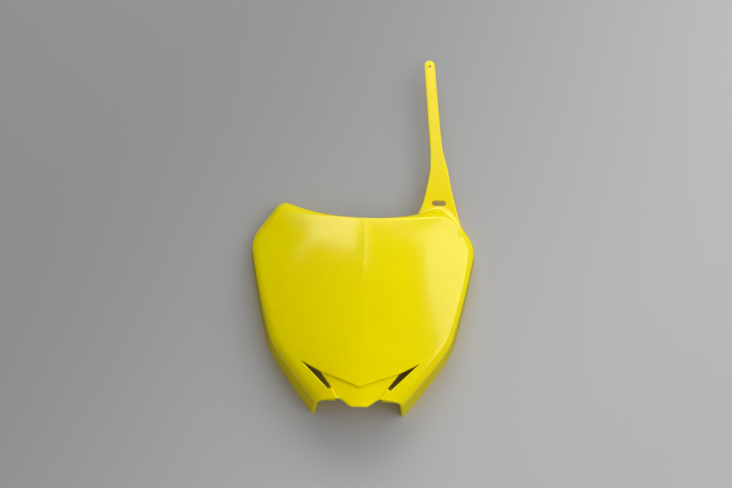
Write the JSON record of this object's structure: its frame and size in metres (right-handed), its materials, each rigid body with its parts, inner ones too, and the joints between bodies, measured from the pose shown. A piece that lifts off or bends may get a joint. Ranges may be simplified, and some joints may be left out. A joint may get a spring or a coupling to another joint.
{
  "type": "racing number board",
  "caption": "One-piece moulded front number board for an off-road motorbike: a crowned open-ended shell with vents, a lower tongue and a strap to tie it to the handlebar.",
  "frame": {"origin": "middle of the part's bounding box in plan, on the plane of the rear rim that it lies on", "axes": "+Z out of the crowned face, away from the motorbike; +Y up the plate, from the open lower end to the strap; +X to the strap's side"},
  "size_m": [0.2306, 0.4166, 0.0485],
  "materials": {
    "yellow_moulding": "glossy moulded polypropylene, yellow all through"
  },
  "bodies": {
    "root": {"number_board": "yellow_moulding"}
  },
  "joints": []
}
